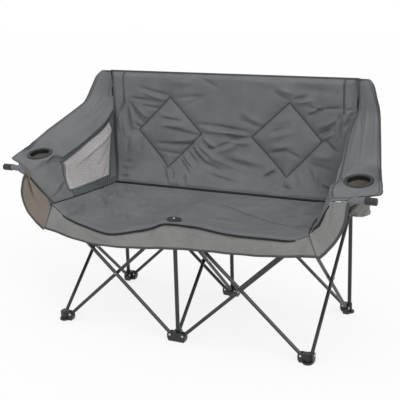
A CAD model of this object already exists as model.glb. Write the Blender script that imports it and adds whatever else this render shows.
import bpy
import numpy as np
from mathutils import Matrix, Vector


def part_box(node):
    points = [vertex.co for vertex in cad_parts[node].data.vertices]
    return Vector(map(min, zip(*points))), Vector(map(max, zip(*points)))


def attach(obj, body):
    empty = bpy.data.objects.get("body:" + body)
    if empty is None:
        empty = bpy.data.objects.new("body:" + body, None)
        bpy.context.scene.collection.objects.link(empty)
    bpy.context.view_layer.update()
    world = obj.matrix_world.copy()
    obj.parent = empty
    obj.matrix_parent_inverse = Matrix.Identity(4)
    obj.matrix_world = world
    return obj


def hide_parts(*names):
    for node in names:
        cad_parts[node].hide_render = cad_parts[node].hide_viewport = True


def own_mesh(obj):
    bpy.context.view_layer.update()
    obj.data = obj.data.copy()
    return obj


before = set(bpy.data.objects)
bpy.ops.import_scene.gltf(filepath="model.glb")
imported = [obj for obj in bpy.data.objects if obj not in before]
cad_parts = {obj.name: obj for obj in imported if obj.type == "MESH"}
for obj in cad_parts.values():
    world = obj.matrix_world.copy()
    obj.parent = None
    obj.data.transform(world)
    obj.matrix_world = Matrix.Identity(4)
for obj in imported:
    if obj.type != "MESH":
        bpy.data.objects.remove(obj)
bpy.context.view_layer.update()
print("frame loaded")


# What the frame gives, in metres: the origin is on the ground under the front middle foot
def boxOf(node):
    low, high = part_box(node)
    return np.array(low), np.array(high)


# From foot to foot across one seat, and from the front row to the rear one
bay, rowDepth = (sum(boxOf("post_back_right")) / 2)[:2]
rowMiddle = rowDepth / 2
backTop = boxOf("back_panel")[1][2]
hubTop = boxOf("hub_back_left")[1][2]
hubPin = hubTop - 0.012  # height of the pins in the hubs
footPin = 0.025  # height of the pins in the feet
pinReach = 0.027  # of a pin from the middle of its foot or hub, across the chair
legRadius = 0.007
legOffset = 0.0075  # of a leg's middle line from its scissor's middle plane
clothThickness = 0.002
clothLayer = 0.0015  # one layer of cloth
heavyLayer = 0.0016  # webbing, or cloth with a coating
seam = 0.0003  # room between two pieces that are sewn together

sides = {"left": -1, "right": 1}
sideEnd = {"left": 0, "right": -1}  # where each side is in a grid that runs from left to right
columnPlaces = {"left": -bay, "middle": 0.0, "right": bay}


# An sRGB hex colour as linear values: the standard curve, channel by channel
def linear(code):
    channels = np.array([int(code[i:i + 2], 16) / 255 for i in (1, 3, 5)])
    curve = np.where(channels <= 0.04045, channels / 12.92, ((channels + 0.055) / 1.055) ** 2.4)
    return (*curve, 1)


# Adds a node. Each input is given a constant, or is linked where its value is another node's output.
# What comes back is the node's output, or all of them where it has more than one.
def addNode(tree, kind, inputs=None, **settings):
    node = tree.nodes.new(kind)
    for name, value in settings.items():
        setattr(node, name, value)
    for socket, value in (inputs or {}).items():
        if isinstance(value, bpy.types.NodeSocket):
            tree.links.new(value, node.inputs[socket])
        else:
            node.inputs[socket].default_value = value
    outputs = [socket for socket in node.outputs if socket.enabled]
    return outputs[0] if len(outputs) == 1 else node.outputs


# A material with one Principled shader. What comes back is the material, its nodes and the shader's inputs.
def newMaterial(name, shading):
    material = bpy.data.materials.new(name)
    material.use_nodes = True
    tree = material.node_tree
    tree.nodes.clear()
    addNode(tree, "ShaderNodeOutputMaterial", {"Surface": addNode(tree, "ShaderNodeBsdfPrincipled", shading)})
    return material, tree, tree.nodes["Principled BSDF"].inputs


# Woven polyester: matt threads over and under each other, with slightly paler patches where it is
# worn and faint crumples everywhere. Along each seam runs a thin sunken line of stitches.
clothLook = {
    "threadPitch": 0.0011,
    "threadShade": 0.05,
    "threadHeight": 0.00006,
    "patchSize": 0.12,
    "crumpleSize": 0.035,
    "seamHalfWidth": 0.0007,
    "seamShadow": 0.0028,
    "seamShade": 0.62,
    "seamDepth": 0.0009,
    "patchRoughness": 0.6,
}


# Two shades of one colour that drift into each other, in patches of one size
def driftingShades(tree, place, patchSize, dark, light, roughness=0.5):
    patches = addNode(tree, "ShaderNodeTexNoise", {
        "Vector": place, "Scale": 1 / patchSize, "Detail": 5.0, "Roughness": roughness})[0]
    drift = addNode(tree, "ShaderNodeMapRange", {"Value": patches, "From Min": 0.3, "From Max": 0.7})
    return addNode(tree, "ShaderNodeMix", {0: drift, 6: linear(dark), 7: linear(light)}, data_type="RGBA")


# The drifting shades times the threads' grain, mixed with the stitches' colour near a seam. The bump is the
# sum of the threads, the crumples and the seam's groove, each by its own height.
def clothMaterial(name, dark, light, seamColour="#202123", roughness=0.85, crumple=0.0016):
    look = clothLook
    material, tree, surface = newMaterial(name, {"Roughness": roughness, "Specular IOR Level": 0.25})
    place = addNode(tree, "ShaderNodeTexCoord")["Object"]
    cloth = addNode(tree, "ShaderNodeSeparateXYZ", {0: addNode(tree, "ShaderNodeUVMap", uv_map="cloth")})
    waves = []
    for direction in (0, 1):
        turn = addNode(tree, "ShaderNodeMath", {0: cloth[direction], 1: 2 * np.pi / look["threadPitch"]},
                       operation="MULTIPLY")
        waves.append(addNode(tree, "ShaderNodeMath", {0: turn}, operation="SINE"))
    weave = addNode(tree, "ShaderNodeMath", {0: waves[0], 1: waves[1]}, operation="MULTIPLY")
    # the eye sees a grey that drifts a little from patch to patch, finely grained by the threads
    base = driftingShades(tree, place, look["patchSize"], dark, light, look["patchRoughness"])
    grain = addNode(tree, "ShaderNodeMath", {0: weave, 1: look["threadShade"], 2: 1.0},
                    operation="MULTIPLY_ADD")
    woven = addNode(tree, "ShaderNodeHueSaturation", {"Value": grain, "Color": base})
    # and thin dark lines where it is stitched
    distance = addNode(tree, "ShaderNodeMath", {
        0: addNode(tree, "ShaderNodeAttribute", attribute_name="seamDistance")["Fac"]}, operation="ABSOLUTE")
    nearSeam = addNode(tree, "ShaderNodeMapRange", {
        "Value": distance, "From Min": look["seamHalfWidth"], "From Max": look["seamShadow"],
        "To Min": look["seamShade"], "To Max": 0.0}, interpolation_type="SMOOTHSTEP")
    stitched = addNode(tree, "ShaderNodeMix", {0: nearSeam, 6: woven, 7: linear(seamColour)},
                       data_type="RGBA")
    tree.links.new(stitched, surface["Base Color"])
    crumples = addNode(tree, "ShaderNodeTexNoise", {
        "Vector": place, "Scale": 1 / look["crumpleSize"], "Detail": 4.0, "Roughness": 0.5,
        "Distortion": 0.9})[0]
    height = 0.0
    for source, share in ((weave, look["threadHeight"]), (crumples, crumple), (nearSeam, -look["seamDepth"])):
        height = addNode(tree, "ShaderNodeMath", {0: source, 1: share, 2: height}, operation="MULTIPLY_ADD")
    bump = addNode(tree, "ShaderNodeBump", {"Strength": 1.0, "Distance": 1.0, "Height": height})
    tree.links.new(bump, surface["Normal"])
    return material


greyPolyester = clothMaterial("grey_woven_polyester", "#65676a", "#707274")
armPolyester = clothMaterial("grey_coated_polyester", "#686a6d", "#737578", crumple=0.0008)
olivePolyester = clothMaterial("olive_grey_polyester", "#757673", "#828380", crumple=0.0014)
beigeLining = clothMaterial("beige_coated_lining", "#6f6860", "#7e756c", crumple=0.0012)
darkBinding = clothMaterial("dark_binding_tape", "#404143", "#4a4b4c", roughness=0.7, crumple=0.0003)
blackPiping = clothMaterial("black_piping", "#191a1c", "#232426", roughness=0.7, crumple=0.0003)
ribbedWebbing = clothMaterial("dark_ribbed_webbing", "#565c5e", "#626869", roughness=0.75, crumple=0.0003)
knitNet = clothMaterial("pale_knitted_net", "#8c8888", "#999595", roughness=0.9, crumple=0.0002)


# Hard materials: two drifting shades, and a fine bump from a noise
def hardMaterial(name, shading, dark, light, patchSize, bumpSize, bumpHeight):
    material, tree, surface = newMaterial(name, shading)
    place = addNode(tree, "ShaderNodeTexCoord")["Object"]
    tree.links.new(driftingShades(tree, place, patchSize, dark, light), surface["Base Color"])
    rough = addNode(tree, "ShaderNodeTexNoise", {"Vector": place, "Scale": 1 / bumpSize, "Detail": 2.0})[0]
    bump = addNode(tree, "ShaderNodeBump", {"Strength": 1.0, "Distance": bumpHeight, "Height": rough})
    tree.links.new(bump, surface["Normal"])
    return material


# Powder coated steel: dark and half glossy, with the fine orange peel of the coat
powderCoat = hardMaterial("powder_coated_steel", {"Roughness": 0.3, "Specular IOR Level": 0.4},
                          "#222426", "#2e3032", 0.07, 0.0011, 0.00006)
# Moulded nylon: black, dulled by the grain of the mould
blackNylon = hardMaterial("moulded_black_nylon", {"Roughness": 0.45, "Specular IOR Level": 0.5},
                          "#141517", "#232527", 0.03, 0.0014, 0.0001)
# Zinc plated rivets: bright metal with dull spangles
zincSteel = hardMaterial("zinc_plated_rivet_steel", {"Roughness": 0.28, "Metallic": 1.0},
                         "#a9acb0", "#d4d6d8", 0.0025, 0.0008, 0.00003)
print("materials made")

for nodeName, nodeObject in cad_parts.items():
    finish = powderCoat if nodeName.startswith(("leg_", "post_back", "post_front")) else blackNylon
    for materialSlot in nodeObject.material_slots:
        materialSlot.material = finish


def fit(piece, body, solid=None):
    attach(piece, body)
    if solid:
        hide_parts(solid)


# Each piece flattens along the axis, towards the anchor
def gather(pieces):
    for piece in pieces:
        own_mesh(piece)


# Arms and side panels flatten towards the rear post of their side
def gatherBeside(pieces):
    gather(pieces)


# Places from three coordinates, each of them a number or a grid
def placesFrom(*coordinates):
    return np.stack(np.broadcast_arrays(*coordinates), -1).astype(float)


# Surfaces. A place is given as shares: across of a bay, deep of the row depth from the middle of
# the rows, and rise of the way from the hub pins to the top of the back.
def placeAt(across, deep, rise):
    return placesFrom(across * bay, rowMiddle + deep * rowDepth, hubPin + rise * (backTop - hubPin))


# A share of the straight way from one place to another
def blendPlaces(a, b, share):
    return a + (b - a) * np.asarray(share)[..., None]


# A soft step from 0 to 1 between two values: three times the share's square less twice its cube
def smoothStep(value, low, high):
    share = np.clip((value - low) / (high - low), 0, 1)
    return share * share * (3 - 2 * share)


# Two grids of shares up to 1: the first grows from row to row, the second from 0 along each row
def shareGrid(count, width, low=0):
    first = np.linspace(low, 1, count)[:, None] * np.ones(width)
    return first, np.linspace(0, 1, width)[None, :] * np.ones_like(first)


# Angles round a full turn, in equal steps
def fullTurn(count):
    return np.linspace(0, 2 * np.pi, count, endpoint=False)


# Vectors divided by their lengths
def unit(vectors):
    return vectors / np.maximum(np.linalg.norm(vectors, axis=-1, keepdims=True), 1e-12)


# A cubic curve through pairs of where and value, each slope taken from its neighbours.
def smoothValue(pairs, where):
    at, value = (np.array(column, float) for column in zip(*pairs))
    index = np.clip(np.searchsorted(at, where, side="left") - 1, 0, len(at) - 2)
    before, after = np.maximum(index - 1, 0), np.minimum(index + 2, len(at) - 1)
    gap = at[index + 1] - at[index]
    share = np.clip((where - at[index]) / gap, 0, 1)
    slopeA = (value[index + 1] - value[before]) / (at[index + 1] - at[before]) * gap
    slopeB = (value[after] - value[index]) / (at[after] - at[index]) * gap
    cube, square = share ** 3, share ** 2
    return ((2 * cube - 3 * square + 1) * value[index] + (cube - 2 * square + share) * slopeA
            + (3 * square - 2 * cube) * value[index + 1] + (cube - square) * slopeB)


# Height of folds in cloth. Each is a line from one place to another with a bell curve across it and a
# half sine wave along it; flat holds two coordinates in metres, the folds' sizes are millimetres.
def ridges(flat, folds):
    height = np.zeros(flat.shape[:-1])
    for x0, z0, x1, z1, width, lift in folds:
        start, end = np.array([x0, z0]) / 1000, np.array([x1, z1]) / 1000
        line = end - start
        share = ((flat - start) @ line) / (line @ line)
        aside = np.linalg.norm(flat - start - np.clip(share, 0, 1)[..., None] * line, axis=-1)
        arch = np.sin(np.pi * np.clip(share, 0.02, 0.98)) ** 0.6
        height += lift / 1000 * arch * np.exp(-(aside / (width / 1000)) ** 2)
    return height


# Unit normals of a grid, from the differences along its two directions.
def surfaceNormals(points):
    return unit(np.cross(np.gradient(points, axis=0), np.gradient(points, axis=1)))


# Six times the volume inside closed faces is a sum of products of their corners.
def enclosedVolume(points, quads):
    a, b, c, d = (points[quads[:, k]] for k in range(4))
    return (np.einsum("ij,ij->", a, np.cross(b, c)) + np.einsum("ij,ij->", a, np.cross(c, d))) / 6


# Puts points and four-cornered faces into a new mesh object, turned to face outwards.
def meshPiece(name, points, quads, material, cloth=None, seamDistance=None, sharpAngle=0.9):
    points = np.ascontiguousarray(points, dtype=float)
    if enclosedVolume(points, quads) < 0:
        quads = quads[:, ::-1]
    quads = np.ascontiguousarray(quads, dtype=np.int32)
    mesh = bpy.data.meshes.new(name)
    mesh.vertices.add(len(points))
    mesh.vertices.foreach_set("co", points.ravel())
    mesh.loops.add(quads.size)
    mesh.loops.foreach_set("vertex_index", quads.ravel())
    mesh.polygons.add(len(quads))
    mesh.polygons.foreach_set("loop_start", np.arange(0, quads.size, 4, dtype=np.int32))
    mesh.update(calc_edges=True)
    mesh.validate()
    mesh.polygons.foreach_set("use_smooth", np.ones(len(mesh.polygons), dtype=bool))
    mesh.set_sharp_from_angle(angle=sharpAngle)
    corner = np.zeros(len(mesh.loops), dtype=np.int32)
    mesh.loops.foreach_get("vertex_index", corner)
    cloth = points[:, [0, 2]] if cloth is None else cloth
    mesh.uv_layers.new(name="cloth").data.foreach_set("uv", np.ascontiguousarray(cloth[corner]).ravel())
    distance = np.full(len(points), 1.0) if seamDistance is None else seamDistance
    mesh.attributes.new("seamDistance", "FLOAT", "POINT").data.foreach_set("value", distance.ravel())
    mesh.materials.append(material)
    piece = bpy.data.objects.new(name, mesh)
    bpy.context.scene.collection.objects.link(piece)
    return piece


# The front faces of a grid, and its walls as pairs of neighbours along every open edge.
def gridQuads(count, width, keep=None):
    keep = np.ones((count - 1, width - 1), bool) if keep is None else keep
    a = (np.arange(count - 1)[:, None] * width + np.arange(width - 1)[None, :])
    faces = np.stack([a, a + width, a + width + 1, a + 1], -1)[keep]
    padded = np.pad(keep, 1)
    inside = padded[1:-1, 1:-1]
    walls = [
        (a, a + width, inside & ~padded[1:-1, :-2]),
        (a + width + 1, a + 1, inside & ~padded[1:-1, 2:]),
        (a + 1, a, inside & ~padded[:-2, 1:-1]),
        (a + width, a + width + 1, inside & ~padded[2:, 1:-1]),
    ]
    edges = np.concatenate([np.stack([p[mask], q[mask]], -1) for p, q, mask in walls])
    return faces, edges


# Lengths along a grid, from its first row or column on
def lengthAlong(points, axis):
    steps = np.diff(points, axis=axis, prepend=points.take([0], axis=axis))
    return np.cumsum(np.linalg.norm(steps, axis=-1), axis=axis)


# A closed sheet between two grids of points: its two faces and a wall along every open edge.
def closedSheet(name, front, rear, material, keep=None, seamDistance=None):
    count, width = front.shape[:2]
    faces, edges = gridQuads(count, width, keep)
    layer = count * width
    wall = np.stack([edges[:, 0], edges[:, 0] + layer, edges[:, 1] + layer, edges[:, 1]], -1)
    quads = np.concatenate([faces, faces[:, ::-1] + layer, wall])
    flat = np.stack([lengthAlong(front, axis) for axis in (0, 1)], -1).reshape(-1, 2)
    points = np.concatenate([front.reshape(-1, 3), rear.reshape(-1, 3)])
    distance = np.ones(2 * layer) if seamDistance is None else np.tile(seamDistance.ravel(), 2)
    used = np.zeros(len(points), bool)
    used[quads.ravel()] = True
    renumber = np.cumsum(used) - 1
    cloth = np.tile(flat, (2, 1))
    return meshPiece(name, points[used], renumber[quads], material, cloth[used], distance[used])


# A skin over rings of points, one after another. Its ends are closed by fans round two middle points, or,
# where there are none, the last ring is joined to the first.
def ringSkin(rings, ends=None):
    rows, count = rings.shape[:2]
    total = rows * count
    start = np.arange(rows - 1 if ends is not None else rows)[:, None] * count
    here = np.arange(count)[None, :]
    after, above = (here + 1) % count, (start + count) % total
    quads = np.stack([start + here, start + after, above + after, above + here], -1).reshape(-1, 4)
    points = rings.reshape(-1, 3)
    if ends is not None:
        ring = np.arange(0, count, 2)
        last = total - count
        low = np.stack([np.full(len(ring), total), (ring + 2) % count, ring + 1, ring], -1)
        high = np.stack([np.full(len(ring), total + 1), last + ring, last + ring + 1,
                         last + (ring + 2) % count], -1)
        points = np.concatenate([points, ends])
        quads = np.concatenate([quads, low, high])
    return points, quads


tapeSection = {"round": 12, "inset": 0.3}  # points round it, and share of its width inside the edge


# Tape folded over an edge, or a piping: an oval section carried along it, as wide towards the outside and
# as thick across that as its size says.
def tapeAlong(name, path, outward, material, size, taper=1.0):
    ahead = unit(np.gradient(path, axis=0))
    outward = np.broadcast_to(outward, path.shape)
    outward = unit(outward - np.sum(outward * ahead, axis=1, keepdims=True) * ahead)
    turn = fullTurn(tapeSection["round"])[None, :, None]
    taper = np.broadcast_to(taper, len(path))[:, None]
    wide, thick = (taper * way * reach / 2 for way, reach in zip((outward, np.cross(ahead, outward)), size))
    centre = path - outward * size[0] * tapeSection["inset"]
    rings = centre[:, None] + np.cos(turn) * wide[:, None] + np.sin(turn) * thick[:, None]
    points, quads = ringSkin(rings, centre[[0, -1]])
    return meshPiece(name, points, quads, material)


# Places of the right side as they are, or with their x turned round for the left side
def mirrored(points, side):
    return points * np.array([side, 1, 1])


# Back: a padded panel before the post pockets, quilted in two large diamonds
back = {
    "edgeShares": [(0.08, 0.918), (0.2, 0.985), (0.33, 1.02), (0.6, 1.037), (1, 1.047)],
    "leanShares": [(0.085, 0.226), (0.16, 0.13), (0.27, 0.06), (0.45, 0.028), (0.73, 0), (1, 0)],
    "lowShare": 0.085,
    "edge": 0.008,
    "padding": 0.015,
    "leastThickness": 0.003,
    "pocketReach": 0.0112,
    "topLift": 0.008,
    "topLiftShare": 0.8,
    "rimShare": 0.045,
    "foldShare": 1.5,
    "grid": (301, 151),
    # the diamonds: their corners, how far the middle ones stand to the right, and the channel along a seam
    "acrossShares": (0.218, 0.512, 0.79),
    "riseShares": (0.22, 0.513976, 0.808072),
    "middleAside": 0.0065,
    "channel": 0.02125,
    "seamWidth": 1.7,
    # two lines of stitches down from the top edge close the sleeves of the outer posts
    "sleeveAcross": {"left": 0.478, "right": 0.498},
    "sleeveLow": 0.821,
    "stitchAside": 0.003,
    # width and thickness of the edges
    "binding": (0.012, 0.0095),
    "bindingReach": 0.004,
    "sidePiping": (0.01105, 0.0085),
    "sidePipingOut": 0.005525,
    "sidePipingBehind": 0.001,
    "lowPiping": (0.0119, 0.0119),
    "lowPipingFront": 0.00255,
}


# Signed distance from the quilting lines: the sum of the two diamond coordinates less one, as a length.
def backSeams(x, z):
    inner, middle, outer = (share * bay for share in back["acrossShares"])
    low, wide, high = (hubPin + share * (backTop - hubPin) for share in back["riseShares"])
    middle = middle + back["middleAside"] * np.sign(x)
    fromMiddle = np.abs(x) - middle
    aside = np.abs(fromMiddle) / np.where(fromMiddle < 0, middle - inner, outer - middle)
    above = np.abs(z - wide) / np.where(z < wide, wide - low, high - wide)
    return (aside + above - 1) * (outer - inner) / 2 / np.sqrt(2)


backFolds = [  # across and height of both ends, width and lift, in millimetres
    (-476, 822, -518, 757, 6, -7), (-502, 784, -497, 696, 8, 6), (-465, 810, -450, 689, 6, -8),
    (-439, 780, -425, 708, 8, 6), (-453, 822, -390, 734, 7, -8), (-415, 807, -361, 753, 9, 6),
    (-446, 841, -310, 829, 8, -6), (-385, 810, -307, 799, 7, -5), (-407, 886, -257, 856, 8, -6),
    (-384, 871, -279, 837, 9, 5), (-485, 772, -473, 681, 7, 5), (-435, 742, -400, 708, 6, -5),
    (-390, 677, -404, 613, 10, -5), (-424, 685, -443, 609, 12, 5), (-459, 674, -466, 605, 7, -4),
    (-472, 567, -434, 571, 7, -5), (-471, 552, -436, 560, 7, 5), (-469, 526, -406, 529, 8, 7),
    (-469, 533, -412, 548, 6, -5), (-467, 507, -425, 518, 7, -5), (-294, 761, -202, 753, 8, -5),
    (-301, 734, -186, 734, 10, 5), (-273, 723, -120, 696, 8, -7), (-246, 670, -128, 681, 10, 5),
    (-321, 655, -159, 658, 8, -6), (-297, 624, -200, 613, 8, -4), (-316, 780, -231, 769, 10, 3),
    (-128, 746, 59, 734, 9, -6), (-105, 727, 29, 719, 12, 7), (4, 700, 62, 693, 9, -9),
    (-104, 696, -45, 658, 9, 7), (-81, 655, -49, 647, 6, -8), (-49, 647, 25, 681, 8, -7),
    (-28, 639, 66, 677, 12, 6), (-158, 651, -95, 594, 5, -6), (-138, 655, -76, 598, 6, 6),
    (-173, 632, -123, 586, 5, -5), (-192, 617, -138, 571, 6, 6), (-206, 594, -145, 541, 5, -7),
    (-122, 662, -52, 617, 8, 6), (-111, 594, 12, 556, 9, -6), (-72, 617, 44, 586, 12, 6),
    (-90, 552, 55, 529, 9, -5), (-55, 556, 78, 541, 12, 5), (-296, 571, -226, 499, 8, -7),
    (-267, 560, -214, 510, 8, 7), (-243, 556, -207, 518, 6, -7), (-211, 541, -199, 507, 8, 6),
    (-172, 537, -156, 503, 6, -7), (-192, 533, -183, 507, 6, 6), (-161, 544, -129, 510, 8, 5),
    (-239, 848, -95, 864, 10, -4), (-184, 818, -95, 864, 10, -4), (-113, 931, -32, 896, 8, -4),
    (-462, 939, -349, 947, 8, -4), (-358, 947, -294, 928, 7, -4), (-267, 913, -140, 910, 12, 4),
    (289, 863, 348, 879, 7, -7), (298, 852, 380, 867, 9, 6), (213, 890, 267, 860, 7, -6),
    (231, 901, 290, 886, 8, 5), (351, 837, 414, 829, 7, -5), (414, 833, 491, 841, 7, -6),
    (352, 803, 414, 833, 7, -7), (354, 818, 406, 841, 8, 5), (401, 731, 450, 761, 7, -7),
    (393, 757, 476, 799, 10, 7), (454, 761, 484, 814, 7, -6), (409, 712, 460, 742, 7, 5),
    (483, 810, 485, 715, 6, -6), (472, 799, 471, 708, 8, 5), (-25, 738, 105, 723, 9, -6),
    (-17, 727, 92, 712, 10, 6), (4, 708, 104, 696, 8, -9), (21, 689, 115, 681, 12, 8),
    (-20, 605, 135, 586, 14, -6), (24, 628, 203, 598, 16, 5), (-20, 582, 195, 529, 14, -5),
    (35, 548, 227, 526, 14, 6), (172, 544, 229, 579, 8, -8), (181, 567, 226, 594, 10, 6),
    (211, 529, 244, 560, 9, 6), (226, 507, 293, 518, 8, -7), (259, 560, 266, 529, 6, -6),
    (250, 529, 308, 518, 6, -7), (270, 548, 309, 541, 9, 7), (292, 514, 332, 526, 8, -5),
    (355, 609, 400, 544, 9, -6), (381, 590, 422, 533, 9, 6), (406, 571, 426, 526, 7, -6),
    (427, 544, 469, 529, 6, -6), (428, 556, 470, 541, 8, 6), (453, 522, 465, 529, 6, -4),
    (328, 579, 359, 526, 9, 5), (304, 575, 328, 522, 8, -5), (194, 727, 257, 750, 9, -4),
    (196, 708, 293, 738, 11, 4), (195, 647, 269, 662, 8, -6), (273, 658, 323, 636, 8, -5),
    (209, 670, 297, 685, 11, 5), (174, 765, 292, 788, 14, 3), (504, 765, 538, 818, 6, -7),
    (494, 784, 527, 833, 7, 5), (509, 833, 532, 837, 6, -5), (518, 807, 539, 825, 5, -6),
    (507, 905, 505, 841, 7, 3), (521, 928, 519, 848, 7, -3), (109, 931, 290, 905, 14, 3),
    (290, 909, 484, 894, 14, -4), (18, 952, 286, 947, 12, 3), (67, 810, 164, 757, 12, 4),
    (57, 776, 158, 746, 10, -4), (433, 704, 482, 666, 6, -8), (365, 651, 462, 647, 14, 5),
    (353, 620, 465, 594, 12, -4),
]


# The back's middle surface: its half width follows the height, and its low end leans forward.
def backPoint(across, rise):
    place = placeAt(across * smoothValue(back["edgeShares"], rise), 0.5, rise)
    lean = np.maximum(0, smoothValue(back["leanShares"], rise)) * rowDepth
    place[..., 1] = rowDepth - back["pocketReach"] - seam - lean - back["edge"] / 2
    return place


# Front and rear of the back: the front swells away from every seam, less towards the rim, with the folds.
def backSurface():
    across, height = shareGrid(*back["grid"], low=-1)
    rear = backPoint(across, back["lowShare"] + (1 - back["lowShare"]) * height) + [0, back["edge"] / 2, 0]
    rim = smoothStep(np.minimum(1 - np.abs(across), np.minimum(height, 1 - height)), 0, back["rimShare"])
    x, z = rear[..., 0], rear[..., 2]
    seams = backSeams(x, z)
    puff = 1 - np.exp(-np.abs(seams) / back["channel"])
    folds = ridges(np.stack([x, z], -1), backFolds) * rim * back["foldShare"]
    thickness = back["edge"] * (0.5 + 0.5 * rim) + back["padding"] * rim * puff + folds
    sleeveAcross = np.where(x < 0, back["sleeveAcross"]["left"], back["sleeveAcross"]["right"])
    sleeve = np.maximum(np.abs(np.abs(x) - sleeveAcross) - back["stitchAside"], back["sleeveLow"] - z)
    rear[..., 2] += back["topLift"] * smoothStep(height, back["topLiftShare"], 1)
    front = rear.copy()
    front[..., 1] -= np.maximum(thickness, back["leastThickness"])
    return front, rear, np.minimum(seams / back["seamWidth"], sleeve)


backFront, backRear, backSeamLines = backSurface()
backQuilt = closedSheet("back_quilt", backFront, backRear, greyPolyester, seamDistance=backSeamLines)
fit(backQuilt, "foot_back_middle", "back_panel")

# Its edges: bound with tape at the top, and a black piping down both sides and along the bottom
topEdge = (backFront[:, -1] + backRear[:, -1]) / 2
reach = np.array([back["bindingReach"], 0, 0])
topEdge = np.concatenate([topEdge[:1] - reach, topEdge, topEdge[-1:] + reach])
backEdges = [tapeAlong("back_binding", topEdge, (0, 0, 1), darkBinding, back["binding"])]
for word, side in sides.items():
    line = backFront[sideEnd[word]] + [side * back["sidePipingOut"], back["sidePipingBehind"], 0]
    backEdges.append(tapeAlong(f"back_piping_{word}", line, (0, -1, 0), blackPiping, back["sidePiping"]))
line = backFront[:, 0] - [0, back["lowPipingFront"], 0]
backEdges.append(tapeAlong("back_piping_low", line, (0, -1, 0), blackPiping, back["lowPiping"]))
for piece in backEdges:
    fit(piece, "foot_back_middle")
gather([backQuilt, *backEdges])
print("back made")

# Post pockets: cloth sleeves behind the back, closed at the top, sewn down at both edges
pocket = {
    "width": 0.056, "depth": 0.126, "reach": 0.0105, "flat": (0.062, 0.126), "hem": 0.004, "grid": (41, 31),
    "closeShare": 0.93, "closing": 0.82, "wrinkle": 0.0012,
}


# Half of a pocket: it bulges between its edges as a cosine does, and closes towards the top.
def pocketSurface(x, way):
    across, high = shareGrid(*pocket["grid"], low=-1)
    closing = 1 - pocket["closing"] * smoothStep(high, pocket["closeShare"], 1)
    bulge = np.cos(np.pi * across / 2) ** 1.4 * closing
    wrinkles = pocket["wrinkle"] * np.sin(9 * high + 2.5 * across) * (1 - np.abs(across))
    stand = clothThickness + (pocket["reach"] - clothThickness) * bulge + wrinkles
    place = placesFrom(x + across * pocket["width"] / 2, rowDepth + way * stand,
                       backTop - clothThickness - pocket["depth"] * (1 - high))
    return place, np.minimum(1 - np.abs(across), 0.9) * pocket["width"] / 2 - pocket["hem"]


for word, x in columnPlaces.items():
    for kind, way, cloth in (("rear", 1, greyPolyester), ("lining", -1, olivePolyester)):
        skin, aside = pocketSurface(x, way)
        piece = closedSheet(f"pocket_{kind}_{word}", skin, skin - [0, way * clothLayer, 0], cloth,
                            seamDistance=aside)
        fit(piece, f"foot_back_{word}", f"post_pocket_{word}" if kind == "rear" else None)
print("pockets made")

# Seat: a padded cushion that hangs between the hubs, so each half sags
seat = {
    "frontShares": [
        (-1, 0.042), (-0.95, 0.012), (-0.9, -0.026), (-0.8, -0.059), (-0.69, -0.084), (-0.5, -0.115),
        (-0.3, -0.076), (-0.17, -0.041), (-0.08, -0.001), (0, 0.007), (0.09, 0.008), (0.2, 0.01),
        (0.42, -0.005), (0.72, -0.006), (0.9, -0.004), (1, 0.038)],
    "frontDeepShares": [(-1, -0.535), (-0.5, -0.572), (0, -0.53), (0.5, -0.572), (1, -0.535)],
    "edgeShares": (0.984, 0.922),
    "cornerShare": 0.037,
    "sagShare": 0.075,
    "rearDeepShare": 0.238,
    "rearRiseShare": 0.035,
    "restHeight": 0.0296,  # of the seam line above the hub pins, with the pad and the sling below it
    "clampShares": (0.08, 0.26),  # where the padding starts beside the clamp, and where it is full
    "crown": 0.007,
    "edge": 0.008,
    "padding": 0.022,
    "foldShare": 1.8,
    # the sewn line across the right half, and how deep and wide it draws the cloth in
    "seamPlaces": [
        (0.08, 0.015), (0.156, -0.005), (0.229, -0.025), (0.3, -0.057), (0.376, -0.094), (0.45, -0.144),
        (0.52, -0.2)],
    "seamDepth": 0.004,
    "seamWidth": 0.012,
    "slingShare": 6 / 7,
    "slingRearDeepShare": 0.478,
    "slingFlat": (1.02, 0.56),
    "slingGrid": (121, 50),
    "grid": (241, 91),
    # width and thickness of the pipings, and where they lie
    "frontPiping": (0.007, 0.006),
    "frontPipingRise": 0.003,
    "lowPiping": (0.006, 0.011),
    "lowPipingPlace": (0, 0.0005, -0.0025),
    "sidePiping": (0.0042, 0.0042),
    "sidePipingRise": 0.001,
}


# Fullness of the padding: nothing at the edges, one inside, and little under the clamp.
def seatFill(across, deep):
    ends = np.sqrt(np.maximum(0, 1 - np.abs(2 * deep - 1) ** 5))
    sideways = np.sqrt(np.maximum(0, 1 - np.abs(across) ** 6))
    return sideways * ends * smoothStep(np.abs(across), *seat["clampShares"])


# The seam line of the seat, from its front edge to its rear one, with a hollow in each half.
def seatPoint(across, deep):
    edge = seat["edgeShares"][0] + (seat["edgeShares"][1] - seat["edgeShares"][0]) * deep
    edge = edge + seat["cornerShare"] * (1 - deep) ** 4
    frontDeep = smoothValue(seat["frontDeepShares"], across)
    depth = frontDeep + (seat["rearDeepShare"] - frontDeep) * deep
    hollow = np.sin(np.pi * np.abs(across)) * np.sin(np.pi * deep)
    frontLevel = smoothValue(seat["frontShares"], across)
    level = frontLevel + (seat["rearRiseShare"] - frontLevel) * deep ** 1.2
    return placeAt(across * edge, depth, level - seat["sagShare"] * hollow) + [0, 0, seat["restHeight"]]


# The seat's underside: its seam line, less the edge's thickness and a share of the padding.
def seatUnder(across, deep, below=0.0):
    fill = (seat["padding"] - seat["crown"]) * seatFill(across, deep)
    place = seatPoint(across, deep)
    place[..., 2] -= seat["crown"] + seat["edge"] + fill + below
    return place


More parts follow.
